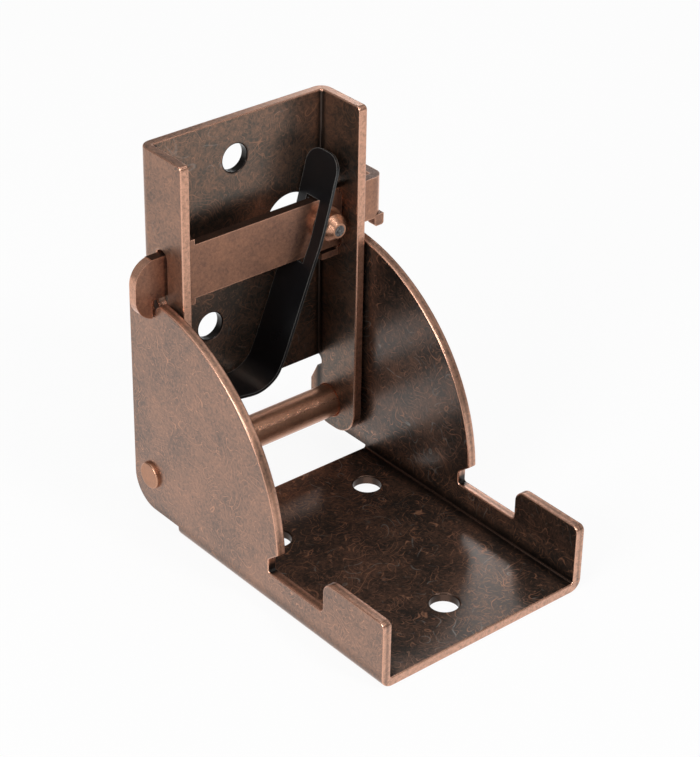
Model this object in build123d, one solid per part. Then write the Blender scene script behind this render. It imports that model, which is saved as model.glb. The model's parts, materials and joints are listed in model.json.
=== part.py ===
from build123d import *
import os

os.makedirs("parts", exist_ok=True)

# Folding leg bracket, open and locked. X runs from the back of the table bracket to its front, where the
# leg folds to. Y runs along the pivot pin and Z up from the face that screws to the table. All in mm.

# Sheet steel of both brackets and of the lock bar
sheet = 2.5
bend_inner = 0.6
edge_round = 0.4
turn_gap = 0.06  # radial running fit of the leg bracket on the pivot pin

# Table bracket: the wide lower sheet with two round ears
base_length = 94.0
base_width = 62.0
plate_rear = 17.7  # the ears stand alone behind this line
lip_height = 9.5
tab_height = 18.2
tab_rear_round = 3.0
tab_front_round = 1.5
tab_foot_round = 1.2
ear_heel_round = 8.0
ear_tip_round = 1.5
notch_lead = 2.3  # round on the front wall of the lock notch
hook_slope = 0.8
hook_depth = 3.3
lock_spare = 5.2  # between the folded bar and the tab in front of it
corner_round = 0.6

# Pivot pin through both brackets
pivot_x = 7.0
pivot_z = 13.0
pin_radius = 4.3
tenon_radius = 3.0
head_radius = 3.5
head_height = 1.0

# Leg bracket: the channel that screws to the leg
leg_height = 85.7  # from the pivot's axis to the top edge
ear_gap = 1.0  # on each side, between an ear and the channel
leg_rear = 0.5  # outer face of the back plate
leg_depth = 16.6
plate_bottom = 25.1
lobe_radius = 7.4
foot_radius = 7.6
shoulder_fall = 4.6
shoulder_run = 2.4
relief_radius = 2.0
top_round = 1.2

# Lock bar across the channel, and the slots that carry it
bar_front = 10.0
bar_height = 14.2
bar_drop = 46.4  # from the pivot's axis to the bar's lower edge
notch_depth = 3.1
end_reach = 4.9
end_round = 6.0
end_drop = 1.3
button_reach = 8.6
button_back = 1.0
button_rise = 0.6
button_round = 1.5
tongue_width = 2.9
tongue_drop = 2.4
tongue_round = 0.7
slot_width = 4.0
slot_spare = 0.8
stop_gap = 0.05
notch_gap = 0.5
neck_gap = 0.45
side_gap = 0.3
press_travel = 4.4
shoulder_width = 1.8
shoulder_rise = 1.5
pad_width = 5.2
finger_height = 1.7
finger_slit = 1.0
finger_root = 0.6

# Pin on the lock bar and the leaf spring that pushes it
lock_pin_inset = 4.7  # from the inner face of the right wall
lock_pin_rise = 0.6  # above the middle of the bar
shank_radius = 1.8
collar_radius = 4.5
collar_length = 1.2
pin_body_radius = 3.6
pin_body_length = 2.8
nose_radius = 1.9
nose_length = 2.0
tail_radius = 2.6
tail_length = 0.6
tail_round = 0.3
spring_thick = 0.8
spring_width = 11.5
spring_rear = 3.6
spring_round = 4.4
spring_slot_gap = 0.3
spring_gap = 0.25  # to the body of the pin
# The spring's line from its top to its foot: across in shares of the way from the pin's side to the left
# wall, and up from the pivot's axis in shares of the bar's drop
spring_line = [(-0.1307, 1.568), (-0.1137, 1.526), (-0.0869, 1.444), (-0.0578, 1.349),
               (-0.0213, 1.231), (0.0000, 1.166), (0.0249, 1.099), (0.0663, 1.013), (0.1538, 0.821),
               (0.2292, 0.653), (0.3046, 0.494), (0.3653, 0.414), (0.4796, 0.371), (0.6353, 0.384),
               (0.8784, 0.418), (1.0535, 0.431)]
strip_samples = 40
window_rear_gap = 1.0
window_front_gap = 1.6
window_low_gap = 0.9
window_high_gap = 0.8
window_round = 1.5

# Screw holes
screw_radius = 3.6
rear_holes = [(13.3, 17.9), (17.7, -14.5)]  # along from the tray's rear edge, and across
front_hole = (13.6, -0.3)  # back from the tray's front edge, and across
top_hole = (-1.3, 10.6)  # across, and down from the channel's top edge
low_hole = (-9.3, 32.2)  # across, and up from the pivot's axis
access_radius = 7.4  # clears the tail of the pin on the lock bar
access_inset = 5.0  # from the pin's axis
access_drop = 0.3  # below the middle of the bar

up = (Align.CENTER, Align.CENTER, Align.MIN)


def box2d(left, right, low, high):
    return Pos((left + right) / 2, (low + high) / 2) * Rectangle(right - left, high - low)


def round_corner(face, u, v, radius):
    return fillet(face.vertices().sort_by_distance(Vector(u, v, 0))[0], radius)


def round_all(face, radius):
    return fillet(face.vertices(), radius)


def round_across(slab, x, z, radius):
    """Rounds the edge of a slab that runs along Y at the given X and Z."""
    return fillet(slab.edges().filter_by(Axis.Y).sort_by_distance(Vector(x, 0, z))[0], radius)


def across(face, y_low, y_high):
    """A profile drawn in X and Z, made into a slab between two Y values."""
    return extrude(Plane.XZ.offset(-y_high) * face, y_high - y_low)


def across_both(face, y_inner, y_outer):
    return across(face, y_inner, y_outer) + across(face, -y_outer, -y_inner)


def bore(radius, length, x, y, z):
    """A round bore along X that starts at the given point."""
    return Pos(x, y, z) * Rot(0, 90, 0) * Cylinder(radius, length, align=up)


def round_cut_edges(solid, radius, square):
    """Rounds the stamped edges, those where two faces of the sheet meet at a sharp angle. Corners across the
    thickness stay square, and so do the edges whose middle is inside the box named square."""
    faces_at = {}
    for face in solid.faces():
        for edge in face.edges():
            faces_at.setdefault(edge, []).append(face)
    sharp = []
    for edge, faces in faces_at.items():
        middle = edge @ 0.5
        corner = edge.length < sheet + radius and abs((edge % 0.5).Y) > 0.99
        if len(faces) == 2 and not corner and not square.is_inside(middle):
            if faces[0].normal_at(middle).get_angle(faces[1].normal_at(middle)) > 30:
                sharp.append(edge)
    return fillet(sharp, radius)


# Table bracket. One sheet folded twice into a shallow tray. Its ears are drawn about the pivot, notched at
# the top for the lock bar and undercut in front so that the bar can lock the folded leg too.
bend_outer = bend_inner + sheet
ear_inner = base_width / 2 - sheet
ear_radius = bar_drop + notch_depth
ear_top = pivot_z + ear_radius
bar_low = pivot_z + bar_drop
bar_top = bar_low + bar_height
bar_rear = bar_front - sheet
folded_bar_high = pivot_z - (bar_rear - pivot_x)
hook_wall = pivot_x + bar_drop - notch_gap
hook_under = folded_bar_high + notch_gap
tab_start = pivot_x + bar_drop + bar_height + lock_spare

ear = Pos(pivot_x, pivot_z) * Circle(ear_radius) & box2d(0, base_length, bend_outer, ear_top)
ear -= box2d(bar_rear - notch_gap, bar_front + notch_gap, bar_low - notch_gap, ear_top)
hook_end = hook_under + hook_slope * (base_length - hook_wall)
ear -= make_face(Polyline(
    (hook_wall, lip_height), (hook_wall, hook_under), (base_length, hook_end), (base_length, lip_height),
    close=True))
tab = box2d(tab_start, base_length, 0, tab_height)
tab = round_corner(tab, base_length, tab_height, tab_front_round)
tab = round_corner(tab, tab_start, tab_height, tab_rear_round)
lip = box2d(plate_rear, base_length, 0, lip_height)
side = across(ear + lip + tab, -base_width / 2, base_width / 2)
notch_rear = bar_rear - notch_gap
notch_front = bar_front + notch_gap
notch_floor = bar_low - notch_gap
side = round_across(side, 0, bend_outer, ear_heel_round)
side = round_across(side, 0, ear_top, ear_tip_round)
side = round_across(side, notch_front, ear_top, notch_lead)
side = round_across(side, tab_start, lip_height, tab_foot_round)
for x, z in [(notch_rear, ear_top), (notch_rear, notch_floor), (notch_front, notch_floor),
             (hook_wall, hook_under), (hook_wall, lip_height),
             (hook_wall + hook_depth, hook_under + hook_slope * hook_depth)]:
    side = round_across(side, x, z, corner_round)

tray = box2d(-base_width / 2, base_width / 2, 0, ear_top)
tray = fillet(tray.vertices().group_by(Axis.Y)[0], bend_outer)
hollow = box2d(-ear_inner, ear_inner, sheet, ear_top + sheet)
hollow = fillet(hollow.vertices().group_by(Axis.Y)[0], bend_inner)
table_bracket = extrude(Plane.YZ * (tray - hollow), base_length) & side
base_holes = [(plate_rear + along, y) for along, y in rear_holes]
base_holes.append((base_length - front_hole[0], front_hole[1]))
for x, y in base_holes:
    table_bracket -= Pos(x, y, 0) * Cylinder(screw_radius, 2 * sheet, align=up)
table_bracket -= Pos(pivot_x, 0, pivot_z) * Rot(90, 0, 0) * Cylinder(tenon_radius, base_width)
rear_end = Pos(plate_rear, 0, 0) * Box(edge_round, 2 * base_width, 2 * sheet + 2 * bend_outer)
table_bracket = round_cut_edges(table_bracket, edge_round, rear_end)

# Pivot pin. Turned with a thick middle that spaces the ears, and thin ends that are peened over outside.
pin_middle = Cylinder(pin_radius, 2 * ear_inner)
tenons = Cylinder(tenon_radius, base_width)
heads = Pos(0, 0, base_width / 2) * Cylinder(head_radius, head_height, align=up)
heads = fillet(heads.edges().group_by(Axis.Z)[-1], head_height / 2)
heads += mirror(heads, Plane.XY)
pivot_pin = Pos(pivot_x, 0, pivot_z) * Rot(90, 0, 0) * (pin_middle + tenons + heads)

# Leg bracket. One sheet folded into a channel with its back to the leg. Both walls run on below the back
# plate as round feet on the pivot pin, with a round relief cut where the fold ends.
leg_top = pivot_z + leg_height
leg_front = leg_rear + leg_depth
leg_outer = ear_inner - ear_gap
leg_inner = leg_outer - sheet
channel = box2d(leg_rear, leg_front, -leg_outer, leg_outer)
channel = fillet(channel.vertices().group_by(Axis.X)[0], bend_outer)
channel_hollow = box2d(leg_rear + sheet, leg_front + sheet, -leg_inner, leg_inner)
channel_hollow = fillet(channel_hollow.vertices().group_by(Axis.X)[0], bend_inner)
relief_x = leg_rear + bend_outer + edge_round - relief_radius
relief_z = plate_bottom - relief_radius
foot_top = relief_z - relief_radius
leg_bracket = extrude(Plane.XY.offset(foot_top) * (channel - channel_hollow), leg_top - foot_top)
leg_bracket -= across(box2d(0, leg_rear + bend_outer, foot_top, plate_bottom), -leg_inner, leg_inner)
leg_bracket -= across(box2d(0, relief_x, foot_top, plate_bottom), -leg_outer, leg_outer)
leg_bracket -= across(Pos(relief_x, relief_z) * Circle(relief_radius), -leg_outer, leg_outer)

foot_x = leg_front - foot_radius
foot_low = pivot_z - lobe_radius
foot_z = foot_low + foot_radius
cheek = Pos(pivot_x, pivot_z) * Circle(lobe_radius) + Pos(foot_x, foot_z) * Circle(foot_radius)
cheek += box2d(pivot_x, foot_x, foot_low, foot_z)
cheek += make_face(Polyline(
    (pivot_x - lobe_radius, pivot_z), (pivot_x - lobe_radius, foot_top - shoulder_fall),
    (pivot_x - lobe_radius + shoulder_run, foot_top), (leg_front, foot_top), (leg_front, foot_z),
    (foot_x, foot_z), (pivot_x, pivot_z), close=True))
leg_bracket += across_both(cheek, leg_inner, leg_outer)

bar_middle = bar_low + bar_height / 2
slot = Rot(0, 0, 90) * SlotOverall(bar_height + 2 * slot_spare, slot_width)
slot = Pos((bar_front + bar_rear) / 2, bar_middle) * slot
leg_bracket -= across(slot, -base_width, base_width)
leg_bracket -= Pos(pivot_x, 0, pivot_z) * Rot(90, 0, 0) * Cylinder(pin_radius + turn_gap, base_width)
leg_bracket -= bore(screw_radius, 2 * sheet, 0, top_hole[0], leg_top - top_hole[1])
leg_bracket -= bore(screw_radius, 2 * sheet, 0, low_hole[0], pivot_z + low_hole[1])
lock_pin_y = leg_inner - lock_pin_inset
lock_pin_z = bar_middle + lock_pin_rise
leg_bracket -= bore(access_radius, 2 * sheet, 0, lock_pin_y - access_inset, bar_middle - access_drop)
top_corners = leg_bracket.edges().filter_by(Axis.Y).group_by(Axis.Z)[-1].sort_by(Axis.X)[-2:]
leg_bracket = fillet(top_corners, top_round)
relief = Pos(relief_x, 0, relief_z) * Box(4 * relief_radius, base_width, 2 * relief_radius + edge_round)
leg_bracket = round_cut_edges(leg_bracket, edge_round, relief)

# Leaf spring. A strip with its foot in a slot of the left wall. It runs across the channel, the lock bar
# passes through its window, and its upper end presses on the pin of the lock bar.
spring_front = spring_rear + spring_width
spring_right = lock_pin_y - pin_body_radius - spring_gap - spring_thick / 2
spring_span = spring_right + leg_inner
spring_points = []
for share, rise in spring_line:
    spring_points.append((spring_right - share * spring_span, pivot_z + rise * bar_drop))
strip = Spline(*spring_points)
steps = [step / strip_samples for step in range(strip_samples + 1)]
sides = []
for half in (spring_thick / 2, -spring_thick / 2):
    sides.append([strip @ step + half * (strip % step).rotate(Axis.Z, 90) for step in steps])
strip_face = make_face([
    Spline(*sides[0]), Line(sides[0][-1], sides[1][-1]),
    Spline(*sides[1][::-1]), Line(sides[1][0], sides[0][0])])
leaf_spring = extrude(Plane.YZ.offset(spring_rear) * strip_face, spring_width)
window = round_all(box2d(
    bar_rear - window_rear_gap, bar_front + window_front_gap,
    bar_low - window_low_gap, bar_top + window_high_gap), window_round)
leaf_spring -= across(window, -leg_outer, leg_inner)
top_edges = leaf_spring.edges().group_by(Axis.Z)[-4:]
corners = [edge for group in top_edges for edge in group if edge.length < 2 * spring_thick]
leaf_spring = fillet(corners, spring_round)
foot_slot = Pos((spring_rear + spring_front) / 2, -leg_inner, spring_points[-1][1]) * Box(
    spring_width + 2 * spring_slot_gap, 4 * sheet, spring_thick + 2 * spring_slot_gap)
leg_bracket -= foot_slot

# Lock bar. A flat stamping with a round end outside the left ear and a button bent back outside the right
# one. It is cut low under the ears, and its shoulders stop it at the channel's walls.
bar_left = -(base_width / 2 + end_reach)
bar_right = base_width / 2 + button_reach
neck_low = ear_top + neck_gap
neck_left = -(base_width / 2 + side_gap)
end_middle = bar_middle - end_drop / 2
bar_end = Pos(bar_left + end_round, end_middle) * Rectangle(2 * end_round, bar_height + end_drop)
bar_end = fillet(bar_end.vertices().group_by(Axis.X)[0], end_round) & box2d(bar_left, neck_left, 0, leg_top)
bar_face = box2d(neck_left, ear_inner, bar_low, bar_top) + bar_end
bar_face += box2d(ear_inner, bar_right - bend_outer, neck_low, bar_top)
bar_face -= box2d(neck_left, -(ear_inner - side_gap) + press_travel, 0, neck_low)
bar_face -= box2d(ear_inner - side_gap, ear_inner, 0, neck_low)
stop_left = -leg_inner + press_travel + stop_gap
bar_face += box2d(
    stop_left, stop_left + shoulder_width, bar_low - shoulder_rise, bar_top + shoulder_rise)
pad_right = leg_inner - stop_gap
finger_low = bar_low - finger_slit - finger_height
bar_face += box2d(pad_right - pad_width, pad_right, finger_low, bar_top + shoulder_rise)
bar_face -= box2d(pad_right - pad_width, pad_right - finger_root, bar_low - finger_slit, bar_low)
button_start = leg_outer + press_travel + side_gap
bar_face += box2d(button_start, bar_right - bend_outer, bar_top, bar_top + button_rise)
lock_bar = extrude(Plane.YZ.offset(bar_rear) * bar_face, sheet)
button = box2d(button_back, bar_front, button_start, bar_right)
button = round_corner(button, bar_front, bar_right, bend_outer)
button -= round_corner(box2d(0, bar_rear, 0, bar_right - sheet), bar_rear, bar_right - sheet, bend_inner)
button = extrude(Plane.XY.offset(neck_low) * button, bar_top + button_rise - neck_low)
button = fillet(button.edges().filter_by(Axis.Y).group_by(Axis.X)[0], button_round)
tongue = box2d(bar_right - tongue_width, bar_right, neck_low - tongue_drop, neck_low + tongue_round)
tongue = fillet(tongue.vertices().group_by(Axis.Y)[0], tongue_round)
lock_bar += [button, extrude(Plane.YZ.offset(bar_rear) * tongue, sheet)]
lock_bar -= bore(shank_radius, sheet, bar_rear, lock_pin_y, lock_pin_z)

# Lock pin. A turned pin riveted through the lock bar, its collar against the spring.
lock_pin = Cylinder(shank_radius, sheet, align=up)
lock_pin += Pos(0, 0, sheet) * Cylinder(collar_radius, collar_length, align=up)
lock_pin += Pos(0, 0, sheet + collar_length) * Cylinder(pin_body_radius, pin_body_length, align=up)
nose = Cone(pin_body_radius, nose_radius, nose_length, align=up)
lock_pin += Pos(0, 0, sheet + collar_length + pin_body_length) * nose
tail = Cylinder(tail_radius, tail_length, align=up)
lock_pin += Pos(0, 0, -tail_length) * fillet(tail.edges().group_by(Axis.Z)[0], tail_round)
lock_pin = Pos(bar_rear, lock_pin_y, lock_pin_z) * Rot(0, 90, 0) * lock_pin

shapes = {"table_bracket": table_bracket, "pivot_pin": pivot_pin, "leg_bracket": leg_bracket,
          "leaf_spring": leaf_spring, "lock_bar": lock_bar, "lock_pin": lock_pin}
for node, shape in shapes.items():
    export_step(Pos(-base_length / 2, 0, 0) * shape, f"parts/{node}.step")
    print(node, len(shape.solids()), round(shape.volume, 1), shape.is_valid, len(shape.faces()))
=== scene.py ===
# Folding leg bracket, open and locked, in antique copper plated sheet steel with a black leaf spring.
# It stands on a pale floor in soft studio light and is seen from the front right, a little from above.
import json
import math

import bmesh
import bpy
from mathutils import Matrix, Vector


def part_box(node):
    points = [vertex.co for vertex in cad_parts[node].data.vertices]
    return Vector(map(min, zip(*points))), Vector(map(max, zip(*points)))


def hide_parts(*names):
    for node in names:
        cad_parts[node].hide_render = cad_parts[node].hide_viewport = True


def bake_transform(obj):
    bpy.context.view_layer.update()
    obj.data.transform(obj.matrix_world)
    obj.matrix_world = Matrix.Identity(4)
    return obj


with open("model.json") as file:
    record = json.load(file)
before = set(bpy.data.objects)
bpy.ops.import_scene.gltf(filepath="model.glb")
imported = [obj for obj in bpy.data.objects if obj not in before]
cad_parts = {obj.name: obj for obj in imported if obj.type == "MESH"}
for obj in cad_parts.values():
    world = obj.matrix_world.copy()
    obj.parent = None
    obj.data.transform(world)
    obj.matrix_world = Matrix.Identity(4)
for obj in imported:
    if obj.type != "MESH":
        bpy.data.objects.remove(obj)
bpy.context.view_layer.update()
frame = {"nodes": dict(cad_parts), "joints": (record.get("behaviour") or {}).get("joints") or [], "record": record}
scene = bpy.context.scene
scene.view_settings.view_transform = "Standard"
nodes = frame["nodes"]

# Camera
# A long lens stands above the front right corner. Its axes come from the azimuth, the elevation and a
# slight roll that the straight edges of the photo give.
azimuth, elevation, roll = math.radians(49.57), math.radians(31.08), math.radians(1.03)
camera_place = (0.35972, -0.30846, 0.33327)
level_share = math.cos(elevation)
back = Vector((math.sin(azimuth) * level_share, -math.cos(azimuth) * level_share, math.sin(elevation)))
level = Vector((0, 0, 1)).cross(back).normalized()
upward = back.cross(level)
right = math.cos(roll) * level + math.sin(roll) * upward
top = math.cos(roll) * upward - math.sin(roll) * level
axes = Matrix((right, top, back)).transposed().to_4x4()
camera_data = bpy.data.cameras.new("camera")
camera_data.lens = 112.93
camera_data.sensor_width = 36
camera_data.clip_end = 20
camera = bpy.data.objects.new("camera", camera_data)
camera.matrix_world = Matrix.Translation(camera_place) @ axes
scene.collection.objects.link(camera)
scene.camera = camera


# Floor and light
# The floor is one white sheet that stays nearly white to the camera and in the metal, with a faint shadow.
# The world above is dim, so faces that look up are dark. A lamp on the left lights the near ear, one in
# front draws the edges, and one behind shines in the tray.
def feed(tree, socket, value):
    """Feeds a socket from another node's output, or gives it a plain value."""
    if isinstance(value, bpy.types.NodeSocket):
        tree.links.new(value, socket)
    else:
        socket.default_value = value


def add_node(tree, kind, sockets, **settings):
    """Adds a node, makes its settings and then feeds its sockets."""
    made = tree.nodes.new(kind)
    for name, value in settings.items():
        setattr(made, name, value)
    for name, value in sockets.items():
        feed(tree, made.inputs[name], value)
    return made


def reckon(tree, operation, *values, clamp=False):
    """Adds one step of arithmetic on numbers and returns its result."""
    step = add_node(tree, "ShaderNodeMath", dict(enumerate(values)), operation=operation, use_clamp=clamp)
    return step.outputs[0]


half_floor, paper_white = 3, 0.92
floor_mesh = bpy.data.meshes.new("floor")
floor_corners = [(half_floor * x, half_floor * y, 0) for x, y in [(-1, -1), (1, -1), (1, 1), (-1, 1)]]
floor_mesh.from_pydata(floor_corners, [], [(0, 1, 2, 3)])
floor = bpy.data.objects.new("floor", floor_mesh)
scene.collection.objects.link(floor)
floor_paint = bpy.data.materials.new("floor_paint")
floor_paint.use_nodes = True
tree = floor_paint.node_tree
floor_shader = tree.nodes["Principled BSDF"]
floor_shader.inputs["Base Color"].default_value = (paper_white, paper_white, paper_white, 1)
floor_shader.inputs["Roughness"].default_value = 0.9
ray = tree.nodes.new("ShaderNodeLightPath").outputs
seen = reckon(tree, "MAXIMUM", ray["Is Camera Ray"], ray["Is Glossy Ray"])
paper = add_node(tree, "ShaderNodeMixShader", {
    "Fac": reckon(tree, "MULTIPLY", seen, paper_white),
    1: floor_shader.outputs["BSDF"],
    2: tree.nodes.new("ShaderNodeEmission").outputs["Emission"]})
feed(tree, tree.nodes["Material Output"].inputs["Surface"], paper.outputs["Shader"])
floor_mesh.materials.append(floor_paint)

world = bpy.data.worlds.new("studio")
world.use_nodes = True
sky = world.node_tree.nodes["Background"].inputs
sky["Color"].default_value = (1, 1, 1, 1)
sky["Strength"].default_value = 0.2
scene.world = world

for name, place, target, size, power in [
        ("overhead", (0.1, -0.15, 1.3), (0, 0, 0), 1.6, 7),
        ("left", (0.25, -1.0, 0.5), (0, 0, 0.04), 0.5, 7),
        ("front", (0.8, 0.2, 0.85), (0, 0, 0.05), 0.2, 3),
        ("behind", (-0.3, 0.28, 0.265), (0.02, 0, 0.003), 0.1, 0.12)]:
    lamp_data = bpy.data.lights.new(name, "AREA")
    lamp_data.energy = power
    lamp_data.size = size
    lamp = bpy.data.objects.new(name, lamp_data)
    lamp.location = place
    lamp.rotation_euler = (Vector(target) - Vector(place)).to_track_quat("-Z", "Y").to_euler()
    scene.collection.objects.link(lamp)


# Table bracket
# One sheet of steel, stamped and folded into a tray with two ears, in thick antique copper plating full of
# fine curled scratches. Its edges are rubbed bright, partly a painted highlight, and its folds and screw
# holes stay dark. The inner faces of its ears carry a painted shade. The effects of the plating are made
# here, and the other plated pieces share them.
def effect(name, inputs, outputs):
    """Starts an effect with named sockets, and returns it with what it is given and what it gives back."""
    group = bpy.data.node_groups.new(name, "ShaderNodeTree")
    for label, kind, value in inputs:
        socket = group.interface.new_socket(label, in_out="INPUT", socket_type="NodeSocket" + kind)
        if value is not None:
            socket.default_value = value
    for label, kind in outputs:
        group.interface.new_socket(label, in_out="OUTPUT", socket_type="NodeSocket" + kind)
    return group, group.nodes.new("NodeGroupInput").outputs, group.nodes.new("NodeGroupOutput").inputs


def vary(tree, value, from_range, to_range=(0, 1), smooth=False):
    """Turns one range of a value into another and returns it."""
    kind = "SMOOTHSTEP" if smooth else "LINEAR"
    step = add_node(tree, "ShaderNodeMapRange", {
        "Value": value, "From Min": from_range[0], "From Max": from_range[1],
        "To Min": to_range[0], "To Max": to_range[1]}, interpolation_type=kind)
    return step.outputs["Result"]


def reckon_place(tree, operation, *values):
    """Adds one step of arithmetic on places or directions and returns its result."""
    step = add_node(tree, "ShaderNodeVectorMath", dict(enumerate(values)), operation=operation)
    return step.outputs["Value" if operation in ("LENGTH", "DOT_PRODUCT") else "Vector"]


def split(tree, place):
    """Splits a place or a direction into its X, Y and Z."""
    return add_node(tree, "ShaderNodeSeparateXYZ", {0: place}).outputs


def mix_colours(tree, share, first, second):
    """Mixes two colours and returns the result."""
    colours = add_node(tree, "ShaderNodeMix", {"Factor": share, "A": first, "B": second}, data_type="RGBA")
    return colours.outputs["Result"]


def mix_numbers(tree, share, first, second):
    """Mixes two numbers and returns the result."""
    return add_node(tree, "ShaderNodeMix", {"Factor": share, "A": first, "B": second}).outputs["Result"]


# Hair scratches are thin curved lines along a slow noise, Turns of them for each step of its value, broken
# into short strokes by a second noise. Size is how fine their curves are, Width their thickness and Cover
# their strength.
scratches, given, result = effect("hair_scratches", [
    ("Vector", "Vector", None), ("Size", "Float", 260), ("Turns", "Float", 14), ("Width", "Float", 0.13),
    ("Cover", "Float", 1)], [("Mask", "Float")])
curves = add_node(scratches, "ShaderNodeTexNoise", {
    "Vector": given["Vector"], "Scale": given["Size"], "Detail": 0.3, "Distortion": 0.25})
repeated = reckon(scratches, "MULTIPLY", curves.outputs["Fac"], given["Turns"])
turn = reckon(scratches, "PINGPONG", repeated, 0.5)
line = vary(scratches, turn, (0, given["Width"]), (1, 0), smooth=True)
finer = reckon(scratches, "MULTIPLY", given["Size"], 2.1)
breaks = add_node(scratches, "ShaderNodeTexNoise", {
    "Vector": given["Vector"], "W": 3.7, "Scale": finer, "Detail": 2}, noise_dimensions="4D")
strokes = reckon(scratches, "MULTIPLY", vary(scratches, breaks.outputs["Fac"], (0.49, 0.58)), given["Cover"])
feed(scratches, result["Mask"], reckon(scratches, "MULTIPLY", line, strokes))

# Worn edges: bare copper where the plating is rubbed off, and a painted highlight of the light
# that rounded edges catch. The sheets' faces lie square to the axes, so an edge is where the normal,
# rounded over Reach, points along none of them. Where Round is 1 the outline curves in X and Z, and
# only the tilt towards Y makes an edge.
edge_wear_and_light, given, result = effect("worn_edges", [
    ("Vector", "Vector", None), ("Reach", "Float", 0.0005), ("Round", "Float", None)], [("Mask", "Float")])
rounded = add_node(edge_wear_and_light, "ShaderNodeBevel", {"Radius": given["Reach"]}, samples=4)
turned = add_node(edge_wear_and_light, "ShaderNodeVectorTransform", {"Vector": rounded.outputs["Normal"]},
                  vector_type="NORMAL", convert_from="WORLD", convert_to="OBJECT")
tilt = reckon_place(edge_wear_and_light, "ABSOLUTE", turned.outputs["Vector"])
leaning = split(edge_wear_and_light, tilt)
square = reckon(edge_wear_and_light, "MAXIMUM", leaning["X"], leaning["Z"])
outline = reckon_place(edge_wear_and_light, "LENGTH", reckon_place(edge_wear_and_light, "MULTIPLY", tilt, (1, 0, 1)))
in_plane = mix_numbers(edge_wear_and_light, given["Round"], square, outline)
largest = reckon(edge_wear_and_light, "MAXIMUM", in_plane, leaning["Y"])
raggedness = 0.2
grain = add_node(edge_wear_and_light, "ShaderNodeTexNoise", {
    "Vector": given["Vector"], "Scale": 1400, "Detail": 5, "Roughness": 0.7})
ragged = reckon(edge_wear_and_light, "MULTIPLY_ADD", grain.outputs["Fac"], raggedness, largest)
feed(edge_wear_and_light, result["Mask"], vary(edge_wear_and_light, ragged, (1.07, 0.92), smooth=True))

# Dark places, where plating stays thick in the folds and on the holes' walls. Mask is 1 up to Inner from
# the Centre, measured with the position's Keep axes only, and 0 from Outer on.
dark, given, result = effect("dark_place", [
    ("Vector", "Vector", None), ("Centre", "Vector", None), ("Keep", "Vector", None),
    ("Inner", "Float", None), ("Outer", "Float", None)], [("Mask", "Float")])
offset = reckon_place(dark, "SUBTRACT", given["Vector"], given["Centre"])
away = reckon_place(dark, "LENGTH", reckon_place(dark, "MULTIPLY", offset, given["Keep"]))
feed(dark, result["Mask"], vary(dark, away, (given["Inner"], given["Outer"]), (1, 0), smooth=True))

# Antique copper is glossy dark patina over copper: a fine grain lets a little copper through, hair scratches
# more, and worn edges show it bare, lightened as a painted highlight. Age runs from 0, coppery, to 1, dark.
# Inside, where it was rubbed less, the patina is thicker, and on Cut faces it is nearly gone. Dust adds
# a few pale curled scratches. Shade mixes in a near-black colour: thick patina and grime in folds, holes
# and notches, and painted shade on the inner faces of the tray's ears and the lock bar's upper faces.
copper, given, result = effect("antique_copper", [
    ("Vector", "Vector", None), ("Age", "Float", 0.5), ("Scratches", "Float", 0.6), ("Dust", "Float", 0),
    ("Round", "Float", 0), ("Shade", "Float", 0), ("Inside", "Float", 0), ("Cut", "Float", 0),
    ("Patina", "Color", (0.131, 0.088, 0.069, 1)), ("Thick Patina", "Color", (0.08, 0.066, 0.057, 1)),
    ("Copper", "Color", (0.66, 0.33, 0.2, 1)), ("Bare", "Color", (0.8, 0.435, 0.3, 1))],
    [("Color", "Color"), ("Roughness", "Float"), ("Height", "Float")])
pale_dust, grime_and_shade_colour = (0.42, 0.4, 0.37, 1), (0.018, 0.014, 0.012, 1)
cloud_share, inside_age, polished = 0.5, 0.12, 0.27
mottle = add_node(copper, "ShaderNodeTexNoise", {
    "Vector": given["Vector"], "Scale": 1100, "Detail": 7, "Roughness": 0.72, "Distortion": 0.5})
cloud = add_node(copper, "ShaderNodeTexNoise", {"Vector": given["Vector"], "Scale": 110, "Detail": 4})
blend = reckon(copper, "MULTIPLY_ADD", cloud.outputs["Fac"], cloud_share, mottle.outputs["Fac"])
older = reckon(copper, "MULTIPLY_ADD", given["Inside"], inside_age, given["Age"])
grained = vary(copper, reckon(copper, "SUBTRACT", blend, older), (0.05, 0.65), (0, 0.8))
hairs = 0
for turn_by, size, turns, width, cover in [
        ((0, 0, 0), 170, 11, 0.1, 1),
        ((0.7, 0.5, 1.1), 330, 7, 0.13, 0.8),
        ((1.9, 1.2, 0.4), 120, 14, 0.09, 1)]:
    turned = add_node(copper, "ShaderNodeMapping", {"Vector": given["Vector"], "Rotation": turn_by})
    hair = add_node(copper, "ShaderNodeGroup", {
        "Vector": turned.outputs["Vector"], "Size": size, "Turns": turns, "Width": width, "Cover": cover},
        node_tree=scratches)
    hairs = reckon(copper, "MAXIMUM", hairs, hair.outputs["Mask"])
lighter_share = reckon(copper, "MAXIMUM", grained, reckon(copper, "MULTIPLY", hairs, given["Scratches"]))
layer = mix_colours(copper, given["Inside"], given["Patina"], given["Thick Patina"])
painted = mix_colours(copper, lighter_share, layer, given["Copper"])
pale = add_node(copper, "ShaderNodeGroup", {
    "Vector": given["Vector"], "Size": 140, "Turns": 7, "Width": 0.075}, node_tree=scratches)
patches = add_node(copper, "ShaderNodeTexNoise", {"Vector": given["Vector"], "Scale": 70, "Detail": 2})
dusty = reckon(copper, "MULTIPLY", vary(copper, patches.outputs["Fac"], (0.44, 0.56)), given["Dust"])
flecked = mix_colours(copper, reckon(copper, "MULTIPLY", pale.outputs["Mask"], dusty), painted, pale_dust)
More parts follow.
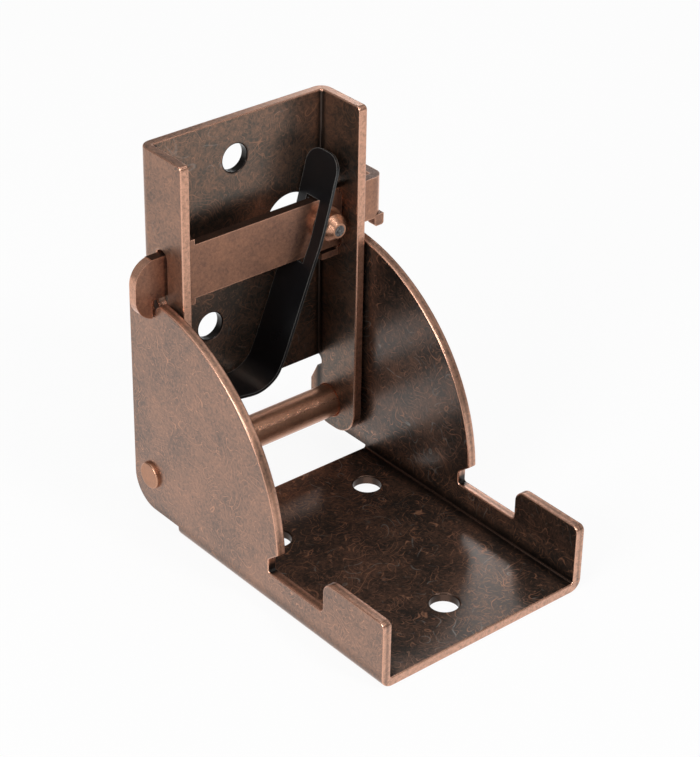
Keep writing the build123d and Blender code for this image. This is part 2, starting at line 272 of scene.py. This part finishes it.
# Worn edges turn towards the bare copper colour: rubbed plating, and a painted highlight.
worn_and_highlit = add_node(copper, "ShaderNodeGroup", {
    "Vector": given["Vector"], "Round": given["Round"]}, node_tree=edge_wear_and_light)
streaks = vary(copper, mottle.outputs["Fac"], (0.35, 0.6), (0.3, 0.8))
sheared = reckon(copper, "MULTIPLY", streaks, given["Cut"])
bright = reckon(copper, "MAXIMUM", worn_and_highlit.outputs["Mask"], sheared)
edged = mix_colours(copper, bright, flecked, given["Bare"])
# Shade mixes in the near-black colour: thick patina and grime, and painted shade on some faces.
feed(copper, result["Color"], mix_colours(copper, given["Shade"], edged, grime_and_shade_colour))
dull = vary(copper, lighter_share, (0, 1), (0.3, 0.52))
feed(copper, result["Roughness"], mix_numbers(copper, bright, dull, polished))
feed(copper, result["Height"], blend)


def plated(name, looks, relief=0.3, depth=0.00008, metallic=0.88):
    """Makes a plated metal with the antique copper look, its grain also a fine relief. Returns the material,
    its tree, the places on the piece, the look and the shader."""
    paint = bpy.data.materials.new(name)
    paint.use_nodes = True
    tree = paint.node_tree
    places = tree.nodes.new("ShaderNodeTexCoord").outputs
    look = add_node(tree, "ShaderNodeGroup", {"Vector": places["Object"], **looks}, node_tree=copper)
    bump = add_node(tree, "ShaderNodeBump", {
        "Strength": relief, "Distance": depth, "Height": look.outputs["Height"]})
    shader = tree.nodes["Principled BSDF"]
    feed(tree, shader.inputs["Base Color"], look.outputs["Color"])
    feed(tree, shader.inputs["Roughness"], look.outputs["Roughness"])
    feed(tree, shader.inputs["Normal"], bump.outputs["Normal"])
    shader.inputs["Metallic"].default_value = metallic
    return paint, tree, places, look, shader


def dark_places(tree, spots):
    """Joins several dark places, each with its vector, centre, kept axes, inner and outer reach."""
    shade = 0
    for vector, centre, keep, inner, outer in spots:
        spot = add_node(tree, "ShaderNodeGroup", {
            "Vector": vector, "Centre": centre, "Keep": keep, "Inner": inner, "Outer": outer}, node_tree=dark)
        shade = reckon(tree, "MAXIMUM", shade, spot.outputs["Mask"])
    return shade


def dress(name, paint):
    """Gives a piece its material in place of the frame's plain one."""
    nodes[name].data.materials.clear()
    nodes[name].data.materials.append(paint)


mounts = {mount["name"]: mount for mount in frame["record"]["mounts"]}
tray_low, tray_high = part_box("table_bracket")
sheet, lip_top, skin = 0.0025, 0.0095, 0.00005
inner_side, seam_middle = tray_high.y - sheet, tray_high.y - 0.0012
cut_side, ear_foot = inner_side - 0.0001, lip_top + 0.0002
front_edge, front_wall = tray_high.x - 0.0002, tray_high.x - 0.0004
notch_corner, notch_inner, notch_outer = (0.0059, 0, 0.0102), 0.0008, 0.0026
fold_inner, fold_outer = 0.0003, 0.004
hole_wall, hole_fade = 0.0001, 0.0006
fold_shade, ear_painted_shade, dust, face_on = 0.9, 0.3, 0.8, 0.3
plated_tray, tree, places, look, shader = plated("plated_tray", {"Age": 0.5, "Scratches": 0.85})
mirrored = reckon_place(tree, "ABSOLUTE", places["Object"])
aside, at = split(tree, mirrored)["Y"], split(tree, places["Object"])
spots = [(mirrored, (0, inner_side, sheet), (0, 1, 1), fold_inner, fold_outer)]
for name in ("table_hole_rear_right", "table_hole_rear_left", "table_hole_front"):
    radius = mounts[name]["dims"]["r_mm"] / 1000
    spots.append((places["Object"], mounts[name]["pos_m"], (1, 1, 0), radius + hole_wall, radius + hole_fade))
thick = reckon(tree, "MULTIPLY", dark_places(tree, spots), fold_shade)
kept_dark = reckon(tree, "MULTIPLY", thick, reckon(tree, "LESS_THAN", at["X"], front_wall))
between = reckon(tree, "LESS_THAN", aside, inner_side + skin)
inside = reckon(tree, "MULTIPLY", between, reckon(tree, "GREATER_THAN", at["Z"], sheet - skin))
ears = reckon(tree, "GREATER_THAN", at["Z"], ear_foot)
sideways = reckon(tree, "ABSOLUTE", split(tree, places["Normal"])["Y"])
rim = reckon(tree, "LESS_THAN", sideways, face_on)
side_rim = reckon(tree, "MULTIPLY", rim, reckon(tree, "GREATER_THAN", aside, cut_side))
sheared = reckon(tree, "MAXIMUM", side_rim, reckon(tree, "GREATER_THAN", at["X"], front_edge))
off_middle = reckon(tree, "ABSOLUTE", reckon(tree, "SUBTRACT", aside, seam_middle))
seam = vary(tree, off_middle, (0.00015, 0.0006), (0.25, 1))
notches = dark_places(tree, [(places["Object"], notch_corner, (1, 0, 1), notch_inner, notch_outer)])
grime = reckon(tree, "MULTIPLY_ADD", notches, rim, kept_dark)
# The inner faces of the ears get a painted shade, darker than their patina.
ear_insides = reckon(tree, "MULTIPLY", ears, inside)
feed(tree, look.inputs["Shade"], reckon(tree, "MULTIPLY_ADD", ear_insides, ear_painted_shade, grime, clamp=True))
feed(tree, look.inputs["Cut"], reckon(tree, "MULTIPLY", sheared, seam))
feed(tree, look.inputs["Dust"], reckon(tree, "MULTIPLY", inside, dust))
feed(tree, look.inputs["Inside"], inside)
feed(tree, look.inputs["Round"], ears)
feed(tree, shader.inputs["Coat Weight"], vary(tree, kept_dark, (0, 1), (0.5, 0)))
shader.inputs["Coat Roughness"].default_value = 0.22
dress("table_bracket", plated_tray)

# Leg bracket
# One sheet folded into a channel with a plate at its back. Its plating is like the tray's, a little duller
# and browner, with its own dark folds and hole walls.
channel_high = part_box("leg_bracket")[1]
openings = {opening["name"]: opening["box_m"] for opening in frame["record"]["physics"]["openings"]}
access_low, access_high = openings["pin_access"]
access_hole = ([(low + high) / 2 for low, high in zip(access_low, access_high)], 0.0074)
screw_holes = [(mounts[name]["pos_m"], mounts[name]["dims"]["r_mm"] / 1000)
               for name in ("leg_hole_top", "leg_hole_low")]
plate_face, inner_wall, feet_top = mounts["leg_face"]["pos_m"][0] + sheet, channel_high.y - sheet, 0.0275
fold_reach, plate_front, top_cut = 0.0022, plate_face + 0.0015, 0.3
front_edge, top_edge, below_edge = channel_high.x - 0.0002, channel_high.z - 0.0002, channel_high.z - 0.0005
plated_channel, tree, places, look, shader = plated("plated_channel", {
    "Age": 0.5, "Scratches": 0.55, "Dust": 0.25, "Thick Patina": (0.103, 0.086, 0.072, 1)})
at = split(tree, places["Object"])
spots = []
for side in (1, -1):
    sided = reckon_place(tree, "MULTIPLY", places["Object"], (1, side, 1))
    spots.append((sided, (plate_face, inner_wall, 0), (1, 1, 0), 0, fold_reach))
for centre, radius in (*screw_holes, access_hole):
    spots.append((places["Object"], centre, (0, 1, 1), radius + hole_wall, radius + hole_fade))
on_plate = reckon(tree, "LESS_THAN", at["X"], plate_front)
folded = reckon(tree, "MULTIPLY", on_plate, reckon(tree, "LESS_THAN", at["Z"], below_edge))
between = reckon(tree, "LESS_THAN", reckon(tree, "ABSOLUTE", at["Y"]), inner_wall + skin)
in_front = reckon(tree, "GREATER_THAN", at["X"], plate_face - skin)
front_rim = reckon(tree, "GREATER_THAN", at["X"], front_edge)
top_rim = reckon(tree, "MULTIPLY", reckon(tree, "GREATER_THAN", at["Z"], top_edge), top_cut)
feed(tree, look.inputs["Shade"], reckon(tree, "MULTIPLY", dark_places(tree, spots), folded))
feed(tree, look.inputs["Inside"], reckon(tree, "MULTIPLY", between, in_front))
feed(tree, look.inputs["Cut"], reckon(tree, "MAXIMUM", front_rim, top_rim))
feed(tree, look.inputs["Round"], reckon(tree, "LESS_THAN", at["Z"], feet_top))
shader.inputs["Coat Weight"].default_value = 0.2
shader.inputs["Coat Roughness"].default_value = 0.3
dress("leg_bracket", plated_channel)

# Lock bar
# The stamped bar and its bent button keep more of the copper, with a finer and more even grain. The left
# end, outside the ear, has a bright sheared rim. Its faces that look up are darker, a painted shade.
plated_bar, tree, places, look, shader = plated("plated_bar", {
    "Age": 0.4, "Scratches": 0.4, "Patina": (0.145, 0.088, 0.074, 1)}, depth=0.00006)
facing = split(tree, places["Normal"])
end = reckon(tree, "LESS_THAN", split(tree, places["Object"])["Y"], tray_low.y)
top_shade = 0.75
# Faces that look up get a painted shade.
upper_painted_shade = vary(tree, facing["Z"], (0.6, 0.9), (0, top_shade))
stamped = reckon(tree, "LESS_THAN", reckon(tree, "ABSOLUTE", facing["X"]), face_on)
feed(tree, look.inputs["Shade"], reckon(tree, "SUBTRACT", upper_painted_shade, end, clamp=True))
feed(tree, look.inputs["Cut"], reckon(tree, "MULTIPLY", stamped, end))
dress("lock_bar", plated_bar)

# Pivot pin and lock pin
# Turned pins with the same plating, rubbed bright. The flat end of the lock pin is grey bare steel, cut
# after plating, within a thin copper rim.
pin_looks = {"Age": 0.33, "Scratches": 0.7, "Patina": (0.29, 0.16, 0.11, 1), "Bare": (0.6, 0.32, 0.21, 1)}
pin_grain = {"relief": 0.55, "depth": 0.00012, "metallic": 0.9}
plated_pin = plated("plated_pin", pin_looks, **pin_grain)[0]
dress("pivot_pin", plated_pin)

pin_low, pin_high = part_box("lock_pin")
pin_end = (pin_high.x, (pin_low.y + pin_high.y) / 2, (pin_low.z + pin_high.z) / 2)
cut_radius, rim_radius = 0.0014, 0.00152
cut_pin, tree, places, look, shader = plated("cut_pin", pin_looks, **pin_grain)
reach = reckon_place(tree, "LENGTH", reckon_place(tree, "SUBTRACT", places["Object"], pin_end))
pits = add_node(tree, "ShaderNodeTexNoise", {"Vector": places["Object"], "Scale": 1800, "Detail": 6})
steel = add_node(tree, "ShaderNodeValToRGB", {"Fac": pits.outputs["Fac"]})
for element, position, colour in zip(
        steel.color_ramp.elements, (0.35, 0.7), [(0.05, 0.05, 0.055, 1), (0.3, 0.29, 0.28, 1)]):
    element.position = position
    element.color = colour
cut_face = vary(tree, reach, (rim_radius, cut_radius))
ends = mix_colours(tree, cut_face, look.outputs["Color"], steel.outputs["Color"])
feed(tree, shader.inputs["Base Color"], ends)
dress("lock_pin", cut_pin)

# Leaf spring
# A black strip bent from a slot in the channel's left wall across to the lock pin. It is built along its
# own line, shaped to the lock bar's drop, and the bar passes through its window. Its edges are worn to
# bare steel, and lighter still as a painted highlight.
strip_low, strip_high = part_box("leaf_spring")
pivot = next(joint for joint in frame["joints"] if joint["name"] == "fold")["pos_m"]
pin_reach, bar_drop = 0.00425, 0.0464
contact = pin_end[1] - pin_reach
line_shares = [
    (-0.1307, 1.568), (-0.1137, 1.526), (-0.0869, 1.444), (-0.0578, 1.349), (-0.0213, 1.231), (0, 1.166),
    (0.0249, 1.099), (0.0663, 1.013), (0.1538, 0.821), (0.2292, 0.653), (0.3046, 0.494), (0.3653, 0.414),
    (0.4796, 0.371), (0.6353, 0.384), (0.8784, 0.418), (1.0535, 0.431)]
knots = [Vector((0, contact + share * (-inner_wall - contact), pivot[2] + rise * bar_drop))
         for share, rise in line_shares]
window_rear, window_front, window_foot, window_top = -0.0405, -0.0354, 0.0585, 0.0744
end_round, half_thick, cells, steps, crease = 0.0044, 0.0004, 32, 12, math.radians(40)
centre = []
for i in range(len(knots) - 1):
    before, here = knots[max(i - 1, 0)], knots[i]
    there, after = knots[i + 1], knots[min(i + 2, len(knots) - 1)]
    bend = 2 * before - 5 * here + 4 * there - after
    twist = 3 * here - before - 3 * there + after
    for step in range(steps):
        t = step / steps
        centre.append(0.5 * (2 * here + (there - before) * t + bend * t * t + twist * t ** 3))
centre.append(knots[-1])

# The strip's width narrows to a round end at its top. Each grid point has an outer and an inner vertex.
width = strip_high.x - strip_low.x
mesh = bmesh.new()
grid = []
from_top = 0
for i, point in enumerate(centre):
    before, after = centre[max(i - 1, 0)], centre[min(i + 1, len(centre) - 1)]
    along = (after - before).normalized()
    outward = half_thick * Vector((0, -along.z, along.y))
    from_top += (point - before).length
    left_out = max(end_round - from_top, 0)
    inset = end_round - math.sqrt(end_round ** 2 - left_out ** 2)
    row = []
    for j in range(cells + 1):
        middle = Vector((strip_low.x + inset + (width - 2 * inset) * j / cells, point.y, point.z))
        row.append([mesh.verts.new(middle + outward), mesh.verts.new(middle - outward)])
    grid.append(row)

solid = set()
for i in range(len(centre) - 1):
    for j in range(cells):
        x = (grid[i][j][0].co.x + grid[i][j + 1][0].co.x) / 2
        z = (centre[i].z + centre[i + 1].z) / 2
        if not (window_rear < x < window_front and window_foot < z < window_top):
            solid.add((i, j))
for i, j in sorted(solid):
    a, b, c, d = grid[i][j], grid[i][j + 1], grid[i + 1][j + 1], grid[i + 1][j]
    mesh.faces.new((a[0], b[0], c[0], d[0]))
    mesh.faces.new((d[1], c[1], b[1], a[1]))
    for near, far, beside in (
            (a, b, (i - 1, j)), (c, d, (i + 1, j)), (b, c, (i, j + 1)), (d, a, (i, j - 1))):
        if beside not in solid:
            mesh.faces.new((near[0], near[1], far[1], far[0]))
bmesh.ops.recalc_face_normals(mesh, faces=mesh.faces)
strip_mesh = bpy.data.meshes.new("spring_strip")
mesh.to_mesh(strip_mesh)
mesh.free()
for face in strip_mesh.polygons:
    face.use_smooth = True
strip = bpy.data.objects.new("spring_strip", strip_mesh)
scene.collection.objects.link(strip)
strip_mesh.set_sharp_from_angle(angle=crease)

black_steel = bpy.data.materials.new("black_steel")
black_steel.use_nodes = True
black, bare_steel_and_highlight = (0.004, 0.004, 0.005, 1), (0.22, 0.22, 0.21, 1)
tree = black_steel.node_tree
shader = tree.nodes["Principled BSDF"]
places = tree.nodes.new("ShaderNodeTexCoord").outputs
haze = add_node(tree, "ShaderNodeTexNoise", {"Vector": places["Object"], "Scale": 160, "Detail": 6})
feed(tree, shader.inputs["Roughness"], vary(tree, haze.outputs["Fac"], (0, 1), (0.2, 0.45)))
# Edges turn towards a light steel grey: worn bare steel, and a painted highlight.
rounded = add_node(tree, "ShaderNodeBevel", {"Radius": 0.00035}, samples=6)
plain = tree.nodes.new("ShaderNodeNewGeometry")
alike = reckon_place(tree, "DOT_PRODUCT", rounded.outputs["Normal"], plain.outputs["Normal"])
lighter_share = vary(tree, alike, (0.97, 0.8), (0, 0.8))
feed(tree, shader.inputs["Base Color"], mix_colours(tree, lighter_share, black, bare_steel_and_highlight))
shader.inputs["Specular IOR Level"].default_value = 0.38
strip_mesh.materials.append(black_steel)
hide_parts("leaf_spring")
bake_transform(strip)
